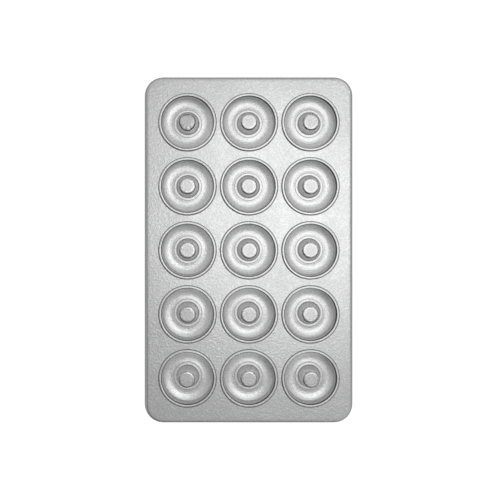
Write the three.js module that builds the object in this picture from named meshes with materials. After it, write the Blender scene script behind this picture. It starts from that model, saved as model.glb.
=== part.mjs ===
// Donut pan: a flat sheet carrying ring-shaped cups, each with a cone in its middle for the donut's hole.
// Millimetres, +Z up. The origin is under the middle of the pan, on the surface that the cups stand on.

import * as THREE from 'three';

// Layout of the pan
const PAN_WIDTH = 333;
const PAN_LENGTH = 553;
const CORNER_RADIUS = 30;
const COLUMN_PITCH = 97.4;
const ROW_PITCH = 101.4;
const COLUMN_NAMES = ['left', 'middle', 'right'];
const ROW_COUNT = 5;

// Top sheet: its edge is folded down, flares outwards and is curled in round the rim wire
const SHEET = 0.8;
const FOLD_RADIUS = 3;
const SKIRT_FLARE = THREE.MathUtils.degToRad(24);
const SKIRT_LENGTH = 9.5;
const CURL_RADIUS = 3.3;
const CURL_TURN = THREE.MathUtils.degToRad(280);
const WIRE_RADIUS = 2;
const COLLAR_INNER_RADIUS = 42.4;
const COLLAR_OUTER_RADIUS = 43.7;
const COLLAR_HEIGHT = 1.2;

// Cup: heights are measured from the top sheet's upper face
const CUP_SHEET = 0.7;
const CUP_DEPTH = 17.5;
const MOUTH_RADIUS = 41.2;
const WALL_ANGLE = THREE.MathUtils.degToRad(82);
const WALL_ROUND = 2.2;
const RISE_RADIUS = 38.3;
const RISE_MIDDLE_RADIUS = 33.6;
const RISE_CURVE = 21.8;
const FLOOR_OUTER_RADIUS = 27.9;
const FLOOR_INNER_RADIUS = 25.2;
const FLOOR_SLOPE = Math.tan(THREE.MathUtils.degToRad(4));
const CUP_HOLE_RADIUS = 18.9;
const BEAD_RADIUS = 45.4;
const BEAD_HEIGHT = 2.3;
const BEAD_SLOPE = 0.8;

// Cone: a hollow post with a closed top and a flange that lies on the sloping part of the cup's floor
const CONE_TOP_HEIGHT = 5;
const CONE_TOP_RADIUS = 12.4;
const CONE_EDGE = 1.4;
const CONE_BASE_RADIUS = 17.4;
const FLANGE_RADIUS = 22.2;

// Clearance kept between pieces that touch, and how finely round shapes are stepped
const GAP = 0.3;
const ROUND_STEPS = 20;
const CORNER_STEPS = 6;
const FOLD_STEPS = 4;
const CURL_STEPS = 8;
const WIRE_STEPS = 8;
const WALL_STEPS = 3;

const coatedSteel = { color: 0xc4c6c8, roughness: 0.38, metalness: 1 };
const formedSteel = { color: 0xb6b8ba, roughness: 0.34, metalness: 1 };
const wireSteel = { color: 0x8d9093, roughness: 0.45, metalness: 1 };

// Points of an arc in (across, up) coordinates, both ends included
function arc(centre, radius, from, to, steps) {
  const points = [];
  for (let i = 0; i <= steps; i++) {
    const angle = from + (to - from) * i / steps;
    points.push(new THREE.Vector2(
      centre.x + radius * Math.cos(angle),
      centre.y + radius * Math.sin(angle)));
  }
  return points;
}

// The fold bends round its own centre, and the skirt runs straight from there to the curl
const foldCentre = new THREE.Vector2(0, -FOLD_RADIUS);
const skirtNormal = new THREE.Vector2(Math.cos(SKIRT_FLARE), Math.sin(SKIRT_FLARE));
const skirtDown = new THREE.Vector2(Math.sin(SKIRT_FLARE), -Math.cos(SKIRT_FLARE));
const curlCentre = foldCentre.clone()
  .addScaledVector(skirtNormal, FOLD_RADIUS - CURL_RADIUS)
  .addScaledVector(skirtDown, SKIRT_LENGTH);
const rimReach = curlCentre.x + CURL_RADIUS;

// Ring of points round the pan: the flat face's outline, moved outwards by offset, at a height
function outlineRing(offset, height) {
  const halfWidth = PAN_WIDTH / 2 - CORNER_RADIUS;
  const halfLength = PAN_LENGTH / 2 - CORNER_RADIUS;
  const radius = CORNER_RADIUS - rimReach + offset;
  const corners = [[1, 1], [-1, 1], [-1, -1], [1, -1]];
  return corners.flatMap(([sideX, sideY], quarter) => {
    const centre = new THREE.Vector2(sideX * halfWidth, sideY * halfLength);
    const start = quarter * Math.PI / 2;
    return arc(centre, radius, start, start + Math.PI / 2, CORNER_STEPS)
      .map(point => new THREE.Vector3(point.x, point.y, height));
  });
}

function circleRing(centre, radius, height) {
  return arc(centre, radius, 0, 2 * Math.PI, ROUND_STEPS)
    .slice(0, ROUND_STEPS)
    .map(point => new THREE.Vector3(point.x, point.y, height));
}

// Closed surface put together from rings of points, bands between rings and flat faces with holes
class Surface {
  points = [];
  triangles = [];

  addRing(ring) {
    const first = this.points.length;
    this.points.push(...ring);
    return ring.map((_, i) => first + i);
  }

  // Band from one ring to the next: its outside is on the left of the way from first to second
  addBand(first, second) {
    const count = first.length;
    for (let i = 0; i < count; i++) {
      const next = (i + 1) % count;
      this.triangles.push(first[i], second[next], first[next]);
      this.triangles.push(first[i], second[i], second[next]);
    }
  }

  addBands(rings) {
    for (let i = 1; i < rings.length; i++) {
      this.addBand(rings[i - 1], rings[i]);
    }
  }

  // Flat face inside an outline and outside its holes, facing up or down
  addFace(outline, holes, facesUp) {
    const flat = ring => ring.map(i => new THREE.Vector2(this.points[i].x, this.points[i].y));
    const indices = [outline, ...holes].flat();
    for (const corners of THREE.ShapeUtils.triangulateShape(flat(outline), holes.map(flat))) {
      const triangle = corners.map(corner => indices[corner]);
      this.triangles.push(...(facesUp ? triangle : triangle.reverse()));
    }
  }

  geometry() {
    const geometry = new THREE.BufferGeometry().setFromPoints(this.points);
    geometry.setIndex(this.triangles);
    geometry.computeVertexNormals();
    return geometry;
  }
}

// Section of the folded edge, from the upper face's outline round the curl and back to the lower face
function rimSection() {
  const curlEnd = SKIRT_FLARE - CURL_TURN;
  const straightUp = Math.PI / 2;
  return [
    ...arc(foldCentre, FOLD_RADIUS, straightUp, SKIRT_FLARE, FOLD_STEPS),
    ...arc(curlCentre, CURL_RADIUS, SKIRT_FLARE, curlEnd, CURL_STEPS),
    ...arc(curlCentre, CURL_RADIUS - SHEET, curlEnd, SKIRT_FLARE, CURL_STEPS),
    ...arc(foldCentre, FOLD_RADIUS - SHEET, SKIRT_FLARE, straightUp, FOLD_STEPS),
  ];
}

// Section of a hole's turned-up collar, from the lower face to the upper face
function collarSection() {
  return [
    new THREE.Vector2(COLLAR_INNER_RADIUS, -SHEET),
    new THREE.Vector2(COLLAR_INNER_RADIUS, COLLAR_HEIGHT),
    new THREE.Vector2(COLLAR_OUTER_RADIUS, COLLAR_HEIGHT),
    new THREE.Vector2(COLLAR_OUTER_RADIUS, 0),
  ];
}

function topSheet(cupPlaces) {
  const surface = new Surface();
  const rim = rimSection().map(point => surface.addRing(outlineRing(point.x, point.y)));
  surface.addBands(rim);
  const upperHoles = [];
  const lowerHoles = [];
  for (const { centre } of cupPlaces) {
    const collar = collarSection().map(point => surface.addRing(circleRing(centre, point.x, point.y)));
    surface.addBands(collar);
    lowerHoles.push(collar.at(0));
    upperHoles.push(collar.at(-1));
  }
  surface.addFace(rim.at(0), upperHoles, true);
  surface.addFace(rim.at(-1), lowerHoles, false);
  return surface.geometry();
}

// Wire loop lying in the curl all the way round the pan
function rimWire() {
  const surface = new Surface();
  const section = arc(curlCentre, WIRE_RADIUS, 2 * Math.PI, 0, WIRE_STEPS).slice(0, WIRE_STEPS);
  const rings = section.map(point => surface.addRing(outlineRing(point.x, point.y)));
  surface.addBands([...rings, rings[0]]);
  return surface.geometry();
}

// Height of a cup's floor on the face at a depth: flat, and rising gently to the hole's edge inside
function floorHeight(radius, depth) {
  return Math.max(0, FLOOR_INNER_RADIUS - radius) * FLOOR_SLOPE - depth;
}

// Point at a thickness under the outer part of a cup's floor, which rises in a curve towards the wall
function risePoint(radius, thickness) {
  const out = radius - FLOOR_OUTER_RADIUS;
  const angle = Math.atan(out / RISE_CURVE);
  return new THREE.Vector2(
    radius + thickness * Math.sin(angle),
    out * out / (2 * RISE_CURVE) - CUP_DEPTH - thickness * Math.cos(angle));
}

// The wall's rounded foot starts where the rise of the floor ends, at the same angle
const riseAngle = Math.atan((RISE_RADIUS - FLOOR_OUTER_RADIUS) / RISE_CURVE);
const footCentre = risePoint(RISE_RADIUS, -WALL_ROUND);

// Wall and floor of a cup at a thickness under its upper face, from the mouth to the edge of the hole
function cupFace(thickness) {
  const depth = CUP_DEPTH + thickness;
  const wallEnd = WALL_ANGLE - Math.PI / 2;
  const riseEnd = riseAngle - Math.PI / 2;
  return [
    new THREE.Vector2(MOUTH_RADIUS + thickness, 0),
    ...arc(footCentre, WALL_ROUND + thickness, wallEnd, riseEnd, WALL_STEPS),
    risePoint(RISE_MIDDLE_RADIUS, thickness),
    new THREE.Vector2(FLOOR_OUTER_RADIUS, -depth),
    new THREE.Vector2(FLOOR_INNER_RADIUS, -depth),
    new THREE.Vector2(CUP_HOLE_RADIUS, floorHeight(CUP_HOLE_RADIUS, depth)),
  ];
}

function spin(section) {
  return new THREE.LatheGeometry(section, ROUND_STEPS).rotateX(Math.PI / 2);
}

// The rim is a bead hooked over the collar, which stands in the channel on the bead's lower face
function cup() {
  const channelTop = COLLAR_HEIGHT + GAP;
  const channelRadius = BEAD_RADIUS - CUP_SHEET;
  const underMouth = MOUTH_RADIUS + CUP_SHEET;
  const upperFace = [
    new THREE.Vector2(BEAD_RADIUS, GAP),
    new THREE.Vector2(BEAD_RADIUS - BEAD_SLOPE, BEAD_HEIGHT),
    new THREE.Vector2(MOUTH_RADIUS + BEAD_SLOPE, BEAD_HEIGHT),
    ...cupFace(0),
  ];
  const lowerFace = [
    new THREE.Vector2(channelRadius, GAP),
    new THREE.Vector2(channelRadius - BEAD_SLOPE + GAP, channelTop),
    new THREE.Vector2(underMouth, channelTop),
    ...cupFace(CUP_SHEET),
  ];
  return spin([...upperFace, ...lowerFace.reverse(), upperFace[0]]);
}

function cone() {
  const flangeUnder = radius => floorHeight(radius, CUP_DEPTH) + GAP;
  const flangeTop = radius => flangeUnder(radius) + CUP_SHEET;
  const innerBase = CONE_BASE_RADIUS - CUP_SHEET;
  const innerTop = CONE_TOP_HEIGHT - CUP_SHEET;
  const flatRadius = CONE_TOP_RADIUS - CONE_EDGE;
  return spin([
    new THREE.Vector2(0, innerTop),
    new THREE.Vector2(flatRadius, innerTop),
    new THREE.Vector2(innerBase, flangeUnder(innerBase)),
    new THREE.Vector2(FLANGE_RADIUS, flangeUnder(FLANGE_RADIUS)),
    new THREE.Vector2(FLANGE_RADIUS, flangeTop(FLANGE_RADIUS)),
    new THREE.Vector2(CONE_BASE_RADIUS, flangeTop(CONE_BASE_RADIUS)),
    new THREE.Vector2(CONE_TOP_RADIUS, CONE_TOP_HEIGHT - CONE_EDGE),
    new THREE.Vector2(flatRadius, CONE_TOP_HEIGHT),
    new THREE.Vector2(0, CONE_TOP_HEIGHT),
  ]);
}

// Centres of the cups, row by row from the +Y end
function placeCups() {
  const places = [];
  for (let row = 0; row < ROW_COUNT; row++) {
    COLUMN_NAMES.forEach((columnName, column) => {
      places.push({
        name: `row${row + 1}_${columnName}`,
        centre: new THREE.Vector2(
          (column - (COLUMN_NAMES.length - 1) / 2) * COLUMN_PITCH,
          ((ROW_COUNT - 1) / 2 - row) * ROW_PITCH),
      });
    });
  }
  return places;
}

function piece(name, geometry, finish) {
  const mesh = new THREE.Mesh(geometry, new THREE.MeshStandardMaterial(finish));
  mesh.name = name;
  return mesh;
}

function donutPan() {
  const pan = new THREE.Group();
  const cupPlaces = placeCups();
  pan.add(piece('top_sheet', topSheet(cupPlaces), coatedSteel));
  pan.add(piece('rim_wire', rimWire(), wireSteel));
  for (const { name, centre } of cupPlaces) {
    const place = new THREE.Group();
    place.position.set(centre.x, centre.y, 0);
    place.add(piece(`cup_${name}`, cup(), formedSteel));
    place.add(piece(`cone_${name}`, cone(), formedSteel));
    pan.add(place);
  }
  pan.position.z = CUP_DEPTH + CUP_SHEET;
  return pan;
}

export default donutPan();
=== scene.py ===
import bmesh
import bpy
import numpy as np
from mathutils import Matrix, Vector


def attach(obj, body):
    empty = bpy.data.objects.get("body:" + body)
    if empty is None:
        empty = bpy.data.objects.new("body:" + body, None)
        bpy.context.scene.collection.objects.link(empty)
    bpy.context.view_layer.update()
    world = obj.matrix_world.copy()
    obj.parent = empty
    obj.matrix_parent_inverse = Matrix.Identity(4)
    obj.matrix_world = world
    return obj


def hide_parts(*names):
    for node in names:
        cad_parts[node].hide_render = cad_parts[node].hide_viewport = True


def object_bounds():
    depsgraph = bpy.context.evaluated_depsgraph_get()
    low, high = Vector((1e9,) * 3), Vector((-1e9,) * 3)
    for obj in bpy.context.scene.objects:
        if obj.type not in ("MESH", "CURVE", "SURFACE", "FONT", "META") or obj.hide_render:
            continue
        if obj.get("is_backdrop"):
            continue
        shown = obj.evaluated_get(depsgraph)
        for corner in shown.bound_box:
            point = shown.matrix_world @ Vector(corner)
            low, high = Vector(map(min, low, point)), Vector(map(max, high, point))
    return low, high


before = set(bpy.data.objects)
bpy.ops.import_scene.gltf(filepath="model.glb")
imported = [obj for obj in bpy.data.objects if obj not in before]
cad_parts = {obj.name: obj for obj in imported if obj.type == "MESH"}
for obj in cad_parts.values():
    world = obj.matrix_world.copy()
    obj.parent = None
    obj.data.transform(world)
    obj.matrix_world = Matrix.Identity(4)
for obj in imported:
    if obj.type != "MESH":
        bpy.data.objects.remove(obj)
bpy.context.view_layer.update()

mm = 0.001
tiny = 1e-9      # keeps a division by a length off zero
layout = {
    "columns": ["left", "middle", "right"],
    "columnPitch": 97.4,      # mm between cup centres across the pan
    "rows": 5,
    "rowPitch": 101.4,      # mm between cup centres along the pan
    "sheetTop": 18.2,      # mm from the table to the sheet's upper face
    "weldGap": 0.002,      # mm within which two points become one
    "seed": 15,
}
middleColumn = len(layout["columns"]) // 2
middleRow = layout["rows"] // 2
places = [
    (f"row{row + 1}_{column}",
     (k - middleColumn) * layout["columnPitch"],
     (middleRow - row) * layout["rowPitch"])
    for row in range(layout["rows"])
    for k, column in enumerate(layout["columns"])
]


# sRGB hex to linear: the lower part of the curve is a straight line, the rest a 2.4 power
def hexColour(code):
    value = np.array([int(code[i:i + 2], 16) for i in (1, 3, 5)]) / 255
    linear = np.where(value <= 0.04045, value / 12.92, ((value + 0.055) / 1.055) ** 2.4)
    return (*linear.tolist(), 1.0)


# Adds one node: settings are its properties, a socket given as an input is linked, anything else is set
def addNode(tree, kind, inputs=None, **settings):
    node = tree.nodes.new(kind)
    for key, value in settings.items():
        setattr(node, key, value)
    for key, value in (inputs or {}).items():
        if isinstance(value, bpy.types.NodeSocket):
            tree.links.new(value, node.inputs[key])
        else:
            node.inputs[key].default_value = value
    return node


# The Mix node's sockets share their names, so they go by number: the share, two values and two colours in,
# and the mixed value and colour out
mixShare, valueA, valueB, colourA, colourB = 0, 2, 3, 6, 7
mixedValue, mixedColour = 0, 2


# Materials

paintedShadeColour = "#3e3b38"      # painted shade: the dark colour laid into crevices and shaded bands, where the attribute says


# New material with an empty node tree
def emptyMaterial(name):
    material = bpy.data.materials.new(name)
    material.use_nodes = True
    material.node_tree.nodes.clear()
    return material


# Colour of a coated steel: two tones by the grain, and painted shade in the dark colour where its attribute
# says
def grainAndShadeColour(tree, grain, finish):
    tone = addNode(tree, "ShaderNodeMapRange", {
        "Value": grain, "From Min": finish["darkGrain"], "From Max": finish["lightGrain"]})
    clean = addNode(tree, "ShaderNodeMix", {
        mixShare: tone.outputs["Result"], colourA: hexColour(finish["darkColour"]),
        colourB: hexColour(finish["lightColour"])}, data_type="RGBA")
    painted_shade = addNode(tree, "ShaderNodeAttribute", attribute_name="painted_shade")
    colour = addNode(tree, "ShaderNodeMix", {
        mixShare: painted_shade.outputs["Fac"],
        colourA: clean.outputs[mixedColour], colourB: hexColour(paintedShadeColour)}, data_type="RGBA")
    return colour.outputs[mixedColour]


# Aluminised steel sheet, cold rolled and hot dipped: a bright satin grey whose coating froze in small
# spangles, so that its flat faces show a fine mottle and its gloss is a little cloudy. The real grain is too
# fine for the render, and is drawn at 2 to 3 mm so that it shows
coatedFinish = {
    "spangle": 2.9, "mottle": 2.3, "cloud": 38.0,      # mm across a cell of each pattern
    "mottleDetail": 3.0, "mottleRoughness": 0.65, "cloudDetail": 2.0,
    "spangleShare": 0.45,      # of the grain, and the rest is mottle
    "darkGrain": 0.25, "lightGrain": 0.75,      # values of the grain that take each colour
    "darkColour": "#d9dada", "lightColour": "#f9f9f9",
    "cloudLow": 0.3, "cloudHigh": 0.7,      # values of the cloud that take each roughness
    "glossyRoughness": 0.28, "dullRoughness": 0.35,
    "bumpStrength": 0.7, "bumpHeight": 0.45,      # the height in mm
}
coatedSheet = emptyMaterial("aluminised_steel_sheet")
tree = coatedSheet.node_tree
coords = addNode(tree, "ShaderNodeTexCoord").outputs["Object"]
spangle = addNode(tree, "ShaderNodeTexVoronoi", {
    "Vector": coords, "Scale": 1 / (coatedFinish["spangle"] * mm)})
mottle = addNode(tree, "ShaderNodeTexNoise", {
    "Vector": coords, "Scale": 1 / (coatedFinish["mottle"] * mm),
    "Detail": coatedFinish["mottleDetail"], "Roughness": coatedFinish["mottleRoughness"]})
cloud = addNode(tree, "ShaderNodeTexNoise", {
    "Vector": coords, "Scale": 1 / (coatedFinish["cloud"] * mm), "Detail": coatedFinish["cloudDetail"]})
grain = addNode(tree, "ShaderNodeMix", {
    mixShare: coatedFinish["spangleShare"], valueA: mottle.outputs["Fac"],
    valueB: spangle.outputs["Distance"]}, data_type="FLOAT").outputs[mixedValue]
gloss = addNode(tree, "ShaderNodeMapRange", {
    "Value": cloud.outputs["Fac"],
    "From Min": coatedFinish["cloudLow"], "From Max": coatedFinish["cloudHigh"],
    "To Min": coatedFinish["glossyRoughness"], "To Max": coatedFinish["dullRoughness"]})
relief = addNode(tree, "ShaderNodeBump", {
    "Height": grain, "Strength": coatedFinish["bumpStrength"], "Distance": coatedFinish["bumpHeight"] * mm})
steel = addNode(tree, "ShaderNodeBsdfPrincipled", {
    "Base Color": grainAndShadeColour(tree, grain, coatedFinish), "Metallic": 1.0,
    "Roughness": gloss.outputs["Result"], "Normal": relief.outputs["Normal"]})
addNode(tree, "ShaderNodeOutputMaterial", {"Surface": steel.outputs["BSDF"]})

# Drawn aluminised steel: the punch stretched the coating, so that the mottle is a little finer and faint
# rings follow the draw. Both are drawn coarser than the real ones so that they show. UV runs round the piece
# (U, one turn) and along its section (V, in metres). The attribute "rubbed" dulls the steep sides, which
# slid along the die, and where it is below zero it polishes the round edges of the tops
drawnFinish = {
    "mottle": 2.2, "ringWidth": 1.5,      # mm across a cell of each pattern
    "ringBreaks": 6.0,      # cells round one turn
    "mottleDetail": 3.0, "mottleRoughness": 0.6, "ringDetail": 2.0,
    "ringShare": 0.35,      # of the grain, and the rest is mottle
    "darkGrain": 0.4, "lightGrain": 0.56,      # values of the grain that take each colour
    "darkColour": "#e6e7e7", "lightColour": "#ffffff",
    "mottleLow": 0.3, "mottleHigh": 0.7,      # values of the mottle that take each roughness
    "glossyRoughness": 0.27, "dullRoughness": 0.33,
    "rubbedRoughness": 0.27,      # what full rubbing adds
    "bumpStrength": 1.0, "bumpHeight": 0.5,      # the height in mm
}
drawnSteel = emptyMaterial("drawn_aluminised_steel")
tree = drawnSteel.node_tree
texture = addNode(tree, "ShaderNodeTexCoord")
mottle = addNode(tree, "ShaderNodeTexNoise", {
    "Vector": texture.outputs["Object"], "Scale": 1 / (drawnFinish["mottle"] * mm),
    "Detail": drawnFinish["mottleDetail"], "Roughness": drawnFinish["mottleRoughness"]})
turned = addNode(tree, "ShaderNodeMapping", {
    "Vector": texture.outputs["UV"],
    "Scale": (drawnFinish["ringBreaks"], 1 / (drawnFinish["ringWidth"] * mm), 1.0)})
rings = addNode(tree, "ShaderNodeTexNoise", {
    "Vector": turned.outputs["Vector"], "Scale": 1.0, "Detail": drawnFinish["ringDetail"]})
grain = addNode(tree, "ShaderNodeMix", {
    mixShare: drawnFinish["ringShare"], valueA: mottle.outputs["Fac"],
    valueB: rings.outputs["Fac"]}, data_type="FLOAT").outputs[mixedValue]
gloss = addNode(tree, "ShaderNodeMapRange", {
    "Value": mottle.outputs["Fac"],
    "From Min": drawnFinish["mottleLow"], "From Max": drawnFinish["mottleHigh"],
    "To Min": drawnFinish["glossyRoughness"], "To Max": drawnFinish["dullRoughness"]})
rubbing = addNode(tree, "ShaderNodeAttribute", attribute_name="rubbed")
dulled = addNode(tree, "ShaderNodeMath", {
    0: rubbing.outputs["Fac"], 1: drawnFinish["rubbedRoughness"],
    2: gloss.outputs["Result"]}, operation="MULTIPLY_ADD")
relief = addNode(tree, "ShaderNodeBump", {
    "Height": grain, "Strength": drawnFinish["bumpStrength"], "Distance": drawnFinish["bumpHeight"] * mm})
steel = addNode(tree, "ShaderNodeBsdfPrincipled", {
    "Base Color": grainAndShadeColour(tree, grain, drawnFinish), "Metallic": 1.0,
    "Roughness": dulled.outputs["Value"], "Normal": relief.outputs["Normal"]})
addNode(tree, "ShaderNodeOutputMaterial", {"Surface": steel.outputs["BSDF"]})

# Drawn steel wire: darker than the sheet, with fine lines along its length from the die, drawn coarser than
# the real ones
wireFinish = {
    "lineWidth": 0.8,      # mm across a line
    "lineBreaks": 200.0,      # cells along the whole loop
    "lineDetail": 3.0,
    "darkColour": "#6f7173", "lightColour": "#939597",
    "glossyRoughness": 0.35, "dullRoughness": 0.5,
    "bumpStrength": 0.15, "bumpHeight": 0.1,      # the height in mm
}
drawnWire = emptyMaterial("drawn_steel_wire")
tree = drawnWire.node_tree
texture = addNode(tree, "ShaderNodeTexCoord")
along = addNode(tree, "ShaderNodeMapping", {
    "Vector": texture.outputs["UV"],
    "Scale": (wireFinish["lineBreaks"], 1 / (wireFinish["lineWidth"] * mm), 1.0)})
lines = addNode(tree, "ShaderNodeTexNoise", {
    "Vector": along.outputs["Vector"], "Scale": 1.0, "Detail": wireFinish["lineDetail"]}).outputs["Fac"]
colour = addNode(tree, "ShaderNodeMix", {
    mixShare: lines, colourA: hexColour(wireFinish["darkColour"]),
    colourB: hexColour(wireFinish["lightColour"])}, data_type="RGBA")
gloss = addNode(tree, "ShaderNodeMapRange", {
    "Value": lines, "To Min": wireFinish["glossyRoughness"], "To Max": wireFinish["dullRoughness"]})
relief = addNode(tree, "ShaderNodeBump", {
    "Height": lines, "Strength": wireFinish["bumpStrength"], "Distance": wireFinish["bumpHeight"] * mm})
steel = addNode(tree, "ShaderNodeBsdfPrincipled", {
    "Base Color": colour.outputs[mixedColour], "Metallic": 1.0,
    "Roughness": gloss.outputs["Result"], "Normal": relief.outputs["Normal"]})
addNode(tree, "ShaderNodeOutputMaterial", {"Surface": steel.outputs["BSDF"]})
print("materials: aluminised sheet, drawn steel, wire")


# Surfaces: the last number of a run or an arc is its count of points

# Elliptic arc in (across, up): centre plus the two half-axes times cosine and sine, angles in degrees
def arcPoints(across, up, halfAcross, halfUp, start, end, count):
    angle = np.radians(np.linspace(start, end, count))
    return np.stack([across + halfAcross * np.cos(angle), up + halfUp * np.sin(angle)], 1)


# Straight run in (across, up) from one point to another, ends included
def runPoints(start, end, count):
    return np.linspace(start, end, count)


# Distance along a section, so that patterns keep their size on it
def sectionLength(section):
    return np.concatenate([[0], np.cumsum(np.linalg.norm(np.diff(section, axis=0), axis=1))])


# Corner numbers of the quads of a grid of rows and columns, numbered row by row
def gridQuads(rows, columns):
    corner = np.arange(rows * columns).reshape(rows, columns)
    return np.stack([corner[:-1, :-1], corner[:-1, 1:], corner[1:, 1:], corner[1:, :-1]], -1).reshape(-1, 4)


# Section turned about the vertical axis: x = r cos, y = r sin, z = up, the first column repeated as the last
def turnSection(section, columns):
    angle = np.linspace(0, 2 * np.pi, columns + 1)
    across, up = section[:, 0, None], section[:, 1, None]
    return np.stack([across * np.cos(angle), across * np.sin(angle), up + 0 * angle], -1)


# UV of a turned piece: U is the share of a turn, V the distance along the section in metres
def turnedUv(section, columns):
    turn, along = np.meshgrid(np.linspace(0, 1, columns + 1), sectionLength(section) * mm)
    return np.stack([turn, along], -1)


# Puts grids of points (mm) into one mesh piece: quads between neighbours, a UV and the marks for each point,
# and points that coincide welded so that seams and poles close
def makePiece(name, grids, uvs, marks, material, slot, *nodes):
    points = np.concatenate([grid.reshape(-1, 3) for grid in grids]) * mm
    starts = np.cumsum([0] + [grid.shape[0] * grid.shape[1] for grid in grids[:-1]])
    quads = np.concatenate([gridQuads(*grid.shape[:2]) + start for grid, start in zip(grids, starts)])
    uv = np.concatenate([uv.reshape(-1, 2) for uv in uvs])
    mesh = bpy.data.meshes.new(name)
    mesh.from_pydata(points.tolist(), [], quads.tolist())
    mesh.uv_layers.new(name="section").data.foreach_set("uv", uv[quads.ravel()].ravel())
    for mark, values in marks.items():
        layer = mesh.attributes.new(mark, "FLOAT", "POINT")
        layer.data.foreach_set("value", np.concatenate([value.ravel() for value in values]))
    shell = bmesh.new()
    shell.from_mesh(mesh)
    bmesh.ops.remove_doubles(shell, verts=shell.verts, dist=layout["weldGap"] * mm)
    shell.to_mesh(mesh)
    shell.free()
    mesh.polygons.foreach_set("use_smooth", np.ones(len(mesh.polygons), bool))
    mesh.materials.append(material)
    piece = bpy.data.objects.new(name, mesh)
    bpy.context.scene.collection.objects.link(piece)
    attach(piece, "root")
    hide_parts(*nodes)
    return piece


# Share of a line of painted shade at an angle round the cup: one on the given side, where the shade is
# heaviest, and less elsewhere, down to the least share opposite, by the cosine of the angle between
def sideShare(angle, side, least):
    return 1 + (1 - least) / 2 * (np.cos(angle - np.radians(side)) - 1)


# Unevenness round a piece: a sum of sines, each with its share, its count of waves in a turn and its start
def waveSum(angle, shares, counts, starts):
    return sum(share * np.sin(count * angle + start) for share, count, start in zip(shares, counts, starts))


# Top sheet

sheet = {
    "width": 332.86, "length": 552.86,      # mm over the curled edge, a hair inside the CAD box
    "cornerRadius": 30.0,
    "thickness": 0.8,
    "foldRadius": 3.0, "skirtFlare": 24.0, "skirtLength": 9.5,      # the flare in degrees
    "curlRadius": 3.3, "curlTurn": 280.0,      # the turn in degrees
    "collarInner": 42.4, "collarOuter": 43.2, "collarHeight": 1.2, "collarFillet": 0.5,
    "sideSteps": 24, "faceSteps": 9, "underSteps": 5,
    "faceCrowding": 1.3,      # power that draws the face's rows towards the hole
    "seamRadius": 45.4, "seamWidth": 1.6,      # mm of painted shade line beside each bead, in the crevice at its foot
    "seamRows": (-0.4, 0, 0.25, 0.5, 0.75, 1),      # rows of points on it, in shares of its width
    "seamFull": 1.4,      # darkness at the bead, before it is cut off at one
    "seamSide": 260.0, "seamLeast": 0.75,      # degrees of the side where the painted shade is widest, share opposite
    "wave": 0.07, "waveShares": (1.0, 0.6, 0.5),      # mm of unevenness left by forming, in three waves
    "waveAcross": (31.0, 17.0, 53.0), "waveAlong": (43.0, 23.0, 19.0),      # mm to a radian of each
    "waveStarts": (0.6, 1.9),
}

# Section of the edge, outwards from the flat face's outline: fold, flared skirt, curl, and back inside it
flare = np.radians(sheet["skirtFlare"])
skirtNormal = np.array([np.cos(flare), np.sin(flare)])
skirtDown = np.array([np.sin(flare), -np.cos(flare)])
foldCentre = np.array([0, -sheet["foldRadius"]])
skirtTop = foldCentre + skirtNormal * (sheet["foldRadius"] - sheet["curlRadius"])
curlCentre = skirtTop + skirtDown * sheet["skirtLength"]
rimReach = curlCentre[0] + sheet["curlRadius"]
curlEnd = sheet["skirtFlare"] - sheet["curlTurn"]
insideFold = sheet["foldRadius"] - sheet["thickness"]
insideCurl = sheet["curlRadius"] - sheet["thickness"]
rimSection = np.concatenate([
    arcPoints(*foldCentre, sheet["foldRadius"], sheet["foldRadius"], 90, sheet["skirtFlare"], 9),
    arcPoints(*curlCentre, sheet["curlRadius"], sheet["curlRadius"], sheet["skirtFlare"], curlEnd, 25),
    arcPoints(*curlCentre, insideCurl, insideCurl, curlEnd, sheet["skirtFlare"], 19),
    arcPoints(*foldCentre, insideFold, insideFold, sheet["skirtFlare"], 90, 6),
])
flatHalf = np.array([sheet["width"], sheet["length"]]) / 2 - rimReach
flatCorner = sheet["cornerRadius"] - rimReach

# Borders of the cells: the sides of the flat face, and the lines halfway between neighbouring cups
betweenColumns = (np.arange(len(layout["columns"]) - 1) + 0.5 - middleColumn) * layout["columnPitch"]
betweenRows = (middleRow - 0.5 - np.arange(layout["rows"] - 1)) * layout["rowPitch"]
columnLines = np.array([-flatHalf[0], *betweenColumns, flatHalf[0]])
rowLines = np.array([flatHalf[1], *betweenRows, -flatHalf[1]])


# Rounds the corners of a rectangle: inside each corner square a point keeps its direction from the square's
# inner corner, and its larger coordinate becomes its distance, so the square's outer sides become the arc
def roundCorners(points):
    inner = flatHalf - flatCorner
    beyond = np.maximum(np.abs(points) - inner, 0)
    length = np.linalg.norm(beyond, axis=-1, keepdims=True)
    largest = beyond.max(-1, keepdims=True)
    rounded = np.where(length > 0, beyond * largest / np.maximum(length, tiny), 0)
    return np.sign(points) * (np.minimum(np.abs(points), inner) + rounded)


# Outward direction on the rounded outline: away from the nearest point of the inner rectangle
def outlineNormal(points):
    beyond = np.sign(points) * np.maximum(np.abs(points) - (flatHalf - flatCorner), 0)
    return beyond / np.linalg.norm(beyond, axis=-1, keepdims=True)


# Forming marks: three long shallow waves added together, a sine across times a cosine along, a sine of the
# difference of both distances and a cosine of their sum
def sheetWave(x, y):
    across = [x / length for length in sheet["waveAcross"]]
    along = [y / length for length in sheet["waveAlong"]]
    waves = (np.sin(across[0] + sheet["waveStarts"][0]) * np.cos(along[0]),
             np.sin(across[1] - along[1] + sheet["waveStarts"][1]),
             np.cos(across[2] + along[2]))
    return sheet["wave"] * sum(share * wave for share, wave in zip(sheet["waveShares"], waves))


# Lifts points from heights over the sheet's upper face to heights over the table, and adds the waves
def raiseSheet(grid):
    lifted = grid.copy()
    lifted[..., 2] += layout["sheetTop"] + sheetWave(grid[..., 0], grid[..., 1])
    return lifted


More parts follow.
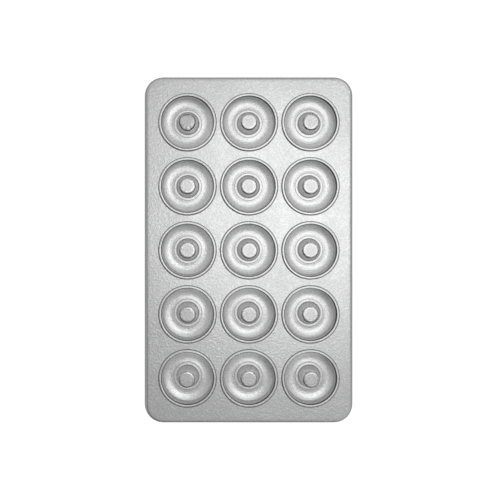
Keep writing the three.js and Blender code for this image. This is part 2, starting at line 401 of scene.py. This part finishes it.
# Points round a rectangle from its lower right corner, counter-clockwise, the same number on each side
def rectangleRing(low, high, steps):
    share = np.linspace(0, 1, steps, endpoint=False)[:, None]
    corners = np.array([
        [high[0], low[1]], [high[0], high[1]], [low[0], high[1]], [low[0], low[1]], [high[0], low[1]]])
    ring = np.concatenate([a + (b - a) * share for a, b in zip(corners[:-1], corners[1:])])
    return np.concatenate([ring, ring[:1]])


# One cell of the sheet: from the cell's border along the lower face to the hole, up and over the turned-up
# collar, and along the upper face back to the border. Every row is the border blended towards a circle round
# the hole
def sheetCell(centre, low, high):
    border = rectangleRing(low, high, sheet["sideSteps"])
    outward = border - centre
    outward = outward / np.linalg.norm(outward, axis=1, keepdims=True)
    inner, outer, height = sheet["collarInner"], sheet["collarOuter"], sheet["collarHeight"]
    fillet, thick = sheet["collarFillet"], sheet["thickness"]
    lip = thick / 2
    line = sheet["seamRadius"] + sheet["seamWidth"] * np.array(sheet["seamRows"])
    collar = np.concatenate([
        arcPoints(inner + fillet + thick, fillet, fillet + thick, fillet + thick, 270, 180, 6),
        arcPoints(inner + lip, height - lip, lip, lip, 180, 0, 9),
        arcPoints(outer + fillet, fillet, fillet, fillet, 180, 270, 5),
        np.stack([line, 0 * line], 1),
    ])
    rings = centre + outward * collar[:, None, :1]
    inwards = np.linspace(1, 0, sheet["underSteps"])[:-1, None, None]
    outwards = np.linspace(0, 1, sheet["faceSteps"])[1:, None, None] ** sheet["faceCrowding"]
    under = rings[:1] + (border - rings[:1]) * inwards
    over = rings[-1:] + (border - rings[-1:]) * outwards
    flat = roundCorners(np.concatenate([under, rings, over]))
    heights = np.concatenate([np.full(len(under), -thick), collar[:, 1], np.zeros(len(over))])
    return np.concatenate([flat, np.broadcast_to(heights[:, None, None], flat.shape[:2] + (1,))], -1)


# Section swept round the pan: each ring is the outline moved outwards by the section's first number
def sweepOutline(section):
    upLines = rowLines[::-1]
    share = np.linspace(0, 1, sheet["sideSteps"], endpoint=False)
    across = np.concatenate([a + (b - a) * share for a, b in zip(columnLines[:-1], columnLines[1:])])
    along = np.concatenate([a + (b - a) * share for a, b in zip(upLines[:-1], upLines[1:])])
    right = np.stack([np.full(len(along), flatHalf[0]), along], 1)
    upper = np.stack([-across, np.full(len(across), flatHalf[1])], 1)
    outline = roundCorners(np.concatenate([right, upper, -right, -upper, right[:1]]))
    rings = outline + outlineNormal(outline) * section[:, None, :1]
    heights = np.broadcast_to(section[:, None, 1:], rings.shape[:2] + (1,))
    return np.concatenate([rings, heights], -1)


# UV of a swept or flat grid: its own place in metres, so that a pattern lies flat
def flatUv(grid):
    return grid[..., :2] * mm


# Painted shade beside the nearest bead, for the crevice at its foot: full at its foot, then fading in a
# straight line over its width, which is widest on the side set by seamSide
def sheetPaintedShade(grid):
    centres = np.array([(x, y) for name, x, y in places])
    away = grid[..., None, :2] - centres
    length = np.linalg.norm(away, axis=-1)
    nearest = length.argmin(-1)[..., None]
    near = np.take_along_axis(length, nearest, -1)[..., 0]
    dx, dy = np.moveaxis(np.take_along_axis(away, nearest[..., None], -2)[..., 0, :], -1, 0)
    width = sheet["seamWidth"] * sideShare(np.arctan2(dy, dx), sheet["seamSide"], sheet["seamLeast"])
    return np.clip(sheet["seamFull"] * (1 - (near - sheet["seamRadius"]) / width), 0, 1)


sheetGrids = [raiseSheet(sweepOutline(rimSection))]
for number, (name, x, y) in enumerate(places):
    row, column = divmod(number, len(layout["columns"]))
    low = np.array([columnLines[column], rowLines[row + 1]])
    high = np.array([columnLines[column + 1], rowLines[row]])
    sheetGrids.append(raiseSheet(sheetCell(np.array([x, y]), low, high)))
sheetUvs = [flatUv(grid) for grid in sheetGrids]
sheetMarks = {"painted_shade": [sheetPaintedShade(grid) for grid in sheetGrids]}
makePiece("top_sheet_formed", sheetGrids, sheetUvs, sheetMarks, coatedSheet, "top_sheet", "top_sheet")
print("top sheet: fold, skirt and curl swept round", len(places), "collared cells")


# Rim wire

wire = {"radius": 2.0, "steps": 14}

wireSection = arcPoints(*curlCentre, wire["radius"], wire["radius"], 360, 0, wire["steps"] + 1)
wireGrid = raiseSheet(sweepOutline(wireSection))
wireRound, wireAlong = np.meshgrid(
    sectionLength(wireSection) * mm, np.linspace(0, 1, wireGrid.shape[1]), indexing="ij")
wireUv = np.stack([wireAlong, wireRound], -1)
makePiece("rim_wire_drawn", [wireGrid], [wireUv], {}, drawnWire, "rim_wire", "rim_wire")
print("rim wire: one loop in the curl")


# Cups

cup = {
    "thickness": 0.7, "depth": 17.5, "mouth": 41.2,
    "beadOuter": 45.4, "beadHeight": 2.3, "outerFlank": 1.3, "innerFlank": 1.5,
    "beadLift": 0.3, "flankEnd": 0.6,      # mm over the sheet where the outer and the inner flank end
    "wallStart": -0.6,      # and where the wall starts
    "wallAngle": 84.0, "footRound": 1.4, "riseRadius": 39.1, "riseCurve": 21.8,
    "floorOuter": 27.7, "floorInner": 27.0, "seatRadius": 22.0, "seatHeight": 0.4, "hole": 18.9,
    "columns": 96,
    "ripple": 0.06,      # mm that the seamed bead wanders
    "rippleShares": (1.0, 0.7, 0.4), "rippleCounts": (2, 3, 7),
    "rubbedFrom": 0.55, "rubbedOver": 0.3,      # steepness where the die starts to rub, and on to full
    "beadFootTop": 1.0, "beadFootFade": 0.4,      # mm of painted shade up the bead's outer foot, in the crevice by the sheet
    "mouthDark": 0.95,      # painted shade under the mouth, on the steep top of the wall
    "mouthTop": 2.25, "mouthSharpness": 6.0,      # mm over the sheet where it ends, and its fall to each mm
    "mouthLine": 1.2, "mouthBand": 4.0,      # mm that it reaches down, at least and on its wide side
    "mouthSide": 20.0,      # degrees of the wide side, where the wall faces the dim side of the surround
    "flangeDark": 0.75, "flangeLine": 22.4, "flangeFade": 0.6,      # painted shade round the cone's flange, in the crevice over the cup's floor
}


# Height of the floor over its lowest ring: outside, the square of the distance from that ring over twice the
# curve's radius; inside, a smooth step (three squares less two cubes of the share) up to the cone's seat
def floorHeight(across):
    outside = np.maximum(across - cup["floorOuter"], 0) ** 2 / (2 * cup["riseCurve"])
    share = np.clip((cup["floorInner"] - across) / (cup["floorInner"] - cup["seatRadius"]), 0, 1)
    return outside + cup["seatHeight"] * share ** 2 * (3 - 2 * share)


# Bead at a depth under its upper face, from its outer foot inwards: two quarter ellipses and a flat between
def beadFace(thick, outerCount, innerCount):
    outerEnd, innerEnd, height = cup["beadLift"], cup["flankEnd"], cup["beadHeight"] - thick
    outer, inner = cup["outerFlank"], cup["innerFlank"]
    return np.concatenate([
        arcPoints(cup["beadOuter"] - outer, outerEnd, outer - thick, height - outerEnd, 0, 90, outerCount),
        arcPoints(cup["mouth"] + inner, innerEnd, inner - thick, height - innerEnd, 90, 180, innerCount),
    ])


# Wall and floor at a depth under the upper face, from the mouth inwards: straight wall, round foot,
# bowl-shaped floor and a gentle rise to the hole
def cupFace(thick):
    rise = np.arctan((cup["riseRadius"] - cup["floorOuter"]) / cup["riseCurve"])
    turn = cup["footRound"]
    footAcross = cup["riseRadius"] - turn * np.sin(rise)
    footUp = floorHeight(cup["riseRadius"]) - cup["depth"] + turn * np.cos(rise)
    wallEnd, riseStart = cup["wallAngle"] - 90, np.degrees(rise) - 90
    foot = arcPoints(footAcross, footUp, turn + thick, turn + thick, wallEnd, riseStart, 9)
    outer = np.linspace(cup["riseRadius"], cup["floorOuter"], 13)[1:]
    slope = (outer - cup["floorOuter"]) / cup["riseCurve"]
    inner = np.linspace(cup["floorInner"], cup["hole"], 13)
    return np.concatenate([
        runPoints((cup["mouth"] + thick, cup["wallStart"]), foot[0], 7)[:-1],
        foot,
        np.stack([outer + thick * slope, floorHeight(outer) - cup["depth"] - thick], 1),
        np.stack([inner, floorHeight(inner) - cup["depth"] - thick], 1),
    ])


# How far a section's steep parts were rubbed: from the height gained over the length, between its neighbours
def rubbedSides(section):
    along = np.gradient(section, axis=0)
    steep = np.abs(along[:, 1]) / np.maximum(np.linalg.norm(along, axis=1), tiny)
    return np.clip((steep - cup["rubbedFrom"]) / cup["rubbedOver"], 0, 1)


inside = cup["thickness"]
upperFace = np.concatenate([beadFace(0, 10, 8), cupFace(0)])
lowerFace = np.concatenate([beadFace(inside, 5, 5), cupFace(inside)])
cupSection = np.concatenate([upperFace, lowerFace[::-1], upperFace[:1]])

# Painted shade on the section: up the bead's outer foot, just under the mouth, and round the cone's flange
across, up = cupSection.T
outerFoot = (across > cup["beadOuter"] - inside) * (up > 0)
beadFoot = outerFoot * np.clip((cup["beadFootTop"] - up) / cup["beadFootFade"], 0, 1)
nearMouth = np.clip(cup["mouthSharpness"] * (cup["mouthTop"] - up), 0, 1) * (across < cup["mouth"] + inside)
flangeLine = cup["flangeDark"] * np.clip(1 - np.abs(across - cup["flangeLine"]) / cup["flangeFade"], 0, 1)
cupRubbed = rubbedSides(cupSection) * (up < 0)

chance = np.random.default_rng(layout["seed"])
for name, x, y in places:
    grid = turnSection(cupSection, cup["columns"])
    angle = np.arctan2(grid[..., 1], grid[..., 0])
    starts = chance.uniform(0, 2 * np.pi, 3)
    wander = waveSum(angle, cup["rippleShares"], cup["rippleCounts"], starts)
    onBead = np.clip(grid[..., 2] / cup["beadHeight"], 0, 1)
    grid[..., :2] *= 1 + (cup["ripple"] * wander * onBead)[..., None] / cup["beadOuter"]
    grid += (x, y, layout["sheetTop"])
    # Painted shade under the mouth: a thin line all round, widening to a band on the side set by mouthSide
    wideSide = sideShare(angle, cup["mouthSide"], 0) ** 2
    mouthDepth = cup["mouthLine"] + (cup["mouthBand"] - cup["mouthLine"]) * wideSide
    mouthLine = cup["mouthDark"] * nearMouth[:, None] * np.clip(up[:, None] + mouthDepth, 0, 1)
    dark = np.maximum(mouthLine, np.maximum(beadFoot, flangeLine)[:, None])
    marks = {"painted_shade": [dark], "rubbed": [np.broadcast_to(cupRubbed[:, None], grid.shape[:2])]}
    uv = turnedUv(cupSection, cup["columns"])
    makePiece(f"cup_{name}_drawn", [grid], [uv], marks, drawnSteel, "cups", f"cup_{name}")
print("cups:", len(places), "drawn rings with hooked beads")


# Cones

cone = {
    "topHeight": 5.0, "topRadius": 13.0, "crownFlat": 9.6, "crownDrop": 1.8,      # the height over the sheet
    "sideOut": 0.1, "sideDown": 0.5,      # mm from the crown's end to the start of the side
    "baseRadius": 17.2, "footFillet": 1.9, "flangeRadius": 22.2, "flangeStart": 0.4, "flangeEdge": 0.3,
    "thickness": 0.7, "gap": 0.3, "underEdge": 0.1, "underFoot": 0.2,
    "columns": 80,
    "lean": 0.5,      # mm that the tops stray from the middle, at most
    "strayed": {"row5_left": (-0.9, -1.1), "row5_right": (1.0, -1.4)},      # mm for those that stray further
    "tilt": 1.2,      # degrees that the tops lean, at most
    "knocked": {"row1_left": (2.5, -3.5)},      # degrees about Y and X of a top that took a knock
    "crumple": 0.04, "knockedCrumple": 0.5,      # mm that the rim wanders
    "dentFrom": 7.5, "dentOver": 3.0,      # mm from the middle where it starts, and on to full
    "dentSide": 0.3, "dentCount": 9,      # sine of the angle where it ends, towards -Y, and waves in a turn
    "outOfRound": 0.1, "roundCount": 3,      # share of the radius to each mm of that, and waves in a turn
    "topPower": 6, "roundPower": 4,      # powers of the height that keep these to the top
    "edgeDark": 0.75, "edgeFade": 0.35,      # painted shade at the flange's edge, in the crevice over the cup's floor
    "rimDark": 1.0, "rimInner": 11.6, "rimOuter": 13.6, "rimFade": 0.35,      # painted shade round the top's rim, in patches
    "rimShadeLevel": 0.58, "knockedRimShade": 0.5, "rimShadeSide": 0.3,
    "rimShadeShares": (0.12, 0.12), "rimShadeCounts": (5, 11),
    "footDark": 0.5, "footFull": 1.2, "footOut": 0.5, "footFade": 0.5,      # painted shade round the foot, in the corner with the flange
    "topDark": 0.15,      # and a thin darkening all over the top, in the same dark colour
    "polish": 0.55, "polishFrom": 8.5, "polishOver": 0.7,      # of the tops' round edges, from handling
}


# Height of the flange's lower face: the cup's floor plus the gap
def flangeUnder(radius):
    return floorHeight(radius) - cup["depth"] + cone["gap"]


thick, edge = cone["thickness"], cone["flangeEdge"]
base, top, flange, fillet = cone["baseRadius"], cone["topHeight"], cone["flangeRadius"], cone["footFillet"]
crown, crownDrop = cone["topRadius"] - cone["crownFlat"], cone["crownDrop"]
crownUnder = top - crownDrop
filletUp = flangeUnder(base + fillet) + thick + fillet
flangeStart, flangeEnd = base + fillet + cone["flangeStart"], flange - edge
underFoot = base + cone["underFoot"]
outerSide = np.concatenate([
    runPoints((0, top), (cone["crownFlat"], top), 7),
    arcPoints(cone["crownFlat"], crownUnder, crown, crownDrop, 90, 5, 14)[1:],
    runPoints((cone["topRadius"] + cone["sideOut"], crownUnder - cone["sideDown"]), (base, filletUp), 10),
    arcPoints(base + fillet, filletUp, fillet, fillet, 180, 270, 7)[1:],
    runPoints((flangeStart, flangeUnder(flangeStart) + thick),
              (flangeEnd, flangeUnder(flangeEnd) + thick), 4),
    arcPoints(flangeEnd, flangeUnder(flange) + thick - edge, edge, edge, 70, 0, 4),
])
innerSide = np.concatenate([
    runPoints((flange, flangeUnder(flange) + cone["underEdge"]), (underFoot, flangeUnder(underFoot)), 5),
    runPoints((base - thick, filletUp - thick), (cone["topRadius"] - thick, crownUnder - thick), 7),
    arcPoints(cone["crownFlat"], crownUnder - thick, crown - thick, crownDrop, 10, 90, 8)[1:],
    runPoints((cone["crownFlat"], top - thick), (0, top - thick), 6)[1:],
])
coneSection = np.concatenate([outerSide, innerSide])

# Painted shade, a thin darkening of the top, and polish on the section
across, up = coneSection.T
onTop = up > crownUnder
fromEdge, fromFoot = np.abs(across - flange), np.abs(across - base - cone["footOut"])
intoRim = np.minimum(across - cone["rimInner"], cone["rimOuter"] - across)
coneEdge = cone["edgeDark"] * np.clip(1 - fromEdge / cone["edgeFade"], 0, 1)
coneFoot = cone["footDark"] * np.clip(cone["footFull"] - fromFoot / cone["footFade"], 0, 1)
coneRim = cone["rimDark"] * np.clip(intoRim / cone["rimFade"], 0, 1)
coneDark = np.maximum(np.maximum(coneEdge, coneFoot), cone["topDark"] * onTop)
conePolish = -cone["polish"] * np.clip((across - cone["polishFrom"]) / cone["polishOver"], 0, 1) * onTop

for name, x, y in places:
    grid = turnSection(coneSection, cone["columns"])
    angle = np.arctan2(grid[..., 1], grid[..., 0])
    outward = np.hypot(grid[..., 0], grid[..., 1])
    rise = np.clip((grid[..., 2] + cup["depth"]) / (top + cup["depth"]), 0, 1)
    atTop = rise ** cone["topPower"]
    lean = np.array(cone["strayed"].get(name, chance.uniform(-1, 1, 2) * cone["lean"]))
    starts = chance.uniform(0, 2 * np.pi, 4)
    tilt = np.radians(cone["knocked"].get(name, chance.uniform(-1, 1, 2) * cone["tilt"]))
    hit = name in cone["knocked"]
    crumple = cone["knockedCrumple"] if hit else cone["crumple"]
    reach = cone["crownFlat"] * np.hypot(*tilt)      # lowers the middle by what the tilt would raise the rim
    grid[..., 2] += (grid[..., 0] * tilt[0] + grid[..., 1] * tilt[1] - reach) * atTop
    onSide = np.clip(cone["dentSide"] - np.sin(angle), 0, 1)
    dented = onSide * np.clip((outward - cone["dentFrom"]) / cone["dentOver"], 0, 1) * atTop
    grid[..., 2] -= crumple * (1 + np.sin(cone["dentCount"] * angle + starts[2])) * dented
    bulge = crumple * cone["outOfRound"] * np.sin(cone["roundCount"] * angle + starts[2])
    grid[..., :2] *= 1 + (bulge * rise ** cone["roundPower"])[..., None]
    grid[..., :2] += lean * rise[..., None]
    grid[..., 2] = np.minimum(grid[..., 2], top)
    grid += (x, y, layout["sheetTop"])
    # Painted shade round the rim: heavier towards -Y and on the knocked top, patchy by a sum of waves
    rimShade = cone["rimShadeLevel"] + cone["knockedRimShade"] * hit - cone["rimShadeSide"] * np.sin(angle)
    rimShade += waveSum(angle, cone["rimShadeShares"], cone["rimShadeCounts"], (starts[3], starts[0]))
    dark = np.maximum(coneDark[:, None], coneRim[:, None] * np.clip(rimShade, 0, 1))
    marks = {"painted_shade": [dark], "rubbed": [np.broadcast_to(conePolish[:, None] * (1 - hit), grid.shape[:2])]}
    uv = turnedUv(coneSection, cone["columns"])
    makePiece(f"cone_{name}_drawn", [grid], [uv], marks, drawnSteel, "cones", f"cone_{name}")
print("cones:", len(places), "hollow posts on flanges")


# Table, light and camera

studio = {
    "tableSize": 40.0, "tableColour": "#f4f4f4", "tableRoughness": 0.9, "tableGlow": 0.7,
    "skyLevel": 0.375, "skyAcross": 0.035, "skyAlong": 0.105,      # the surround and its drift to +X and +Y
    "skyRing": 1.25, "ringFrom": 0.96, "ringFull": 0.82,      # brighter below these heights of a direction
    "shadeSide": (-0.6, -0.8, 0), "shadeLevel": 0.1,      # dim low down on this side
    "shadeFrom": 0.52, "shadeFull": 0.82,      # how far towards that side it starts, and is full
    "underLevel": 0.345, "horizon": 0.15,      # what the metal sees below the soft horizon
    "lampPlace": (0.32, 0.1, 2.05), "lampRadius": 0.695, "lampWatts": 4.5,
    "cameraPlace": (-0.053, 0.0575, 0.998), "frameWidth": 0.792, "shift": (0.069, -0.072),
    "sensorWidth": 36.0,      # mm
}

tableMesh = bpy.data.meshes.new("table")
half = studio["tableSize"] / 2
tableCorners = [(-half, -half, 0), (half, -half, 0), (half, half, 0), (-half, half, 0)]
tableMesh.from_pydata(tableCorners, [], [(0, 1, 2, 3)])
table = bpy.data.objects.new("table", tableMesh)
bpy.context.scene.collection.objects.link(table)
table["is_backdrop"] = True
# White studio board, matt: a little light comes through it, so that the pan stands on plain white
whiteBoard = bpy.data.materials.new("white_studio_board")
whiteBoard.use_nodes = True
board = whiteBoard.node_tree.nodes["Principled BSDF"]
board.inputs["Base Color"].default_value = hexColour(studio["tableColour"])
board.inputs["Roughness"].default_value = studio["tableRoughness"]
board.inputs["Emission Color"].default_value = (1, 1, 1, 1)
board.inputs["Emission Strength"].default_value = studio["tableGlow"]
tableMesh.materials.append(whiteBoard)
table.visible_glossy = False      # the metal mirrors the dimmer surround, as under a studio tent

# Pale surround: a level with a drift, brighter away from the zenith, dim low down on one side, plain below
surround = bpy.data.worlds.new("white_surround")
surround.use_nodes = True
tree = surround.node_tree
tree.nodes.clear()
direction = addNode(tree, "ShaderNodeTexCoord").outputs["Generated"]
height = addNode(tree, "ShaderNodeSeparateXYZ", {0: direction}).outputs["Z"]
drift = addNode(tree, "ShaderNodeVectorMath", {
    0: direction, 1: (studio["skyAcross"], studio["skyAlong"], 0)}, operation="DOT_PRODUCT")
level = addNode(tree, "ShaderNodeMath", {0: drift.outputs["Value"], 1: studio["skyLevel"]}, operation="ADD")
ring = addNode(tree, "ShaderNodeMapRange", {
    "Value": height, "From Min": studio["ringFrom"], "From Max": studio["ringFull"],
    "To Min": 1.0, "To Max": studio["skyRing"]})
side = addNode(tree, "ShaderNodeVectorMath", {0: direction, 1: studio["shadeSide"]}, operation="DOT_PRODUCT")
shade = addNode(tree, "ShaderNodeMapRange", {
    "Value": side.outputs["Value"], "From Min": studio["shadeFrom"], "From Max": studio["shadeFull"],
    "To Min": 1.0, "To Max": studio["shadeLevel"]})
ringed = addNode(tree, "ShaderNodeMath", {
    0: level.outputs["Value"], 1: ring.outputs["Result"]}, operation="MULTIPLY")
dimmed = addNode(tree, "ShaderNodeMath", {
    0: ringed.outputs["Value"], 1: shade.outputs["Result"]}, operation="MULTIPLY")
above = addNode(tree, "ShaderNodeMapRange", {
    "Value": height, "From Min": -studio["horizon"], "From Max": studio["horizon"]})
seen = addNode(tree, "ShaderNodeMix", {
    mixShare: above.outputs["Result"],
    valueA: studio["underLevel"], valueB: dimmed.outputs["Value"]}, data_type="FLOAT")
sky = addNode(tree, "ShaderNodeBackground", {"Color": (1, 1, 1, 1), "Strength": seen.outputs[mixedValue]})
addNode(tree, "ShaderNodeOutputWorld", {"Surface": sky.outputs["Background"]})
bpy.context.scene.world = surround

lampData = bpy.data.lights.new("soft_lamp", "AREA")
lampData.shape = "DISK"
lampData.size = 2 * studio["lampRadius"]
lampData.energy = studio["lampWatts"]
lamp = bpy.data.objects.new("soft_lamp", lampData)
lamp.location = studio["lampPlace"]
bpy.context.scene.collection.objects.link(lamp)

# The lens fits the frame's width at the sheet: sensor times distance over width
sheetAway = studio["cameraPlace"][2] - layout["sheetTop"] * mm
cameraData = bpy.data.cameras.new("camera")
cameraData.sensor_width = studio["sensorWidth"]
cameraData.lens = studio["sensorWidth"] * sheetAway / studio["frameWidth"]
cameraData.shift_x, cameraData.shift_y = studio["shift"]
camera = bpy.data.objects.new("camera", cameraData)
camera.location = studio["cameraPlace"]
bpy.context.scene.collection.objects.link(camera)
bpy.context.scene.camera = camera
bpy.context.scene.view_settings.view_transform = "Standard"
print("studio: white table, soft lamp, camera straight above")

low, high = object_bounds()
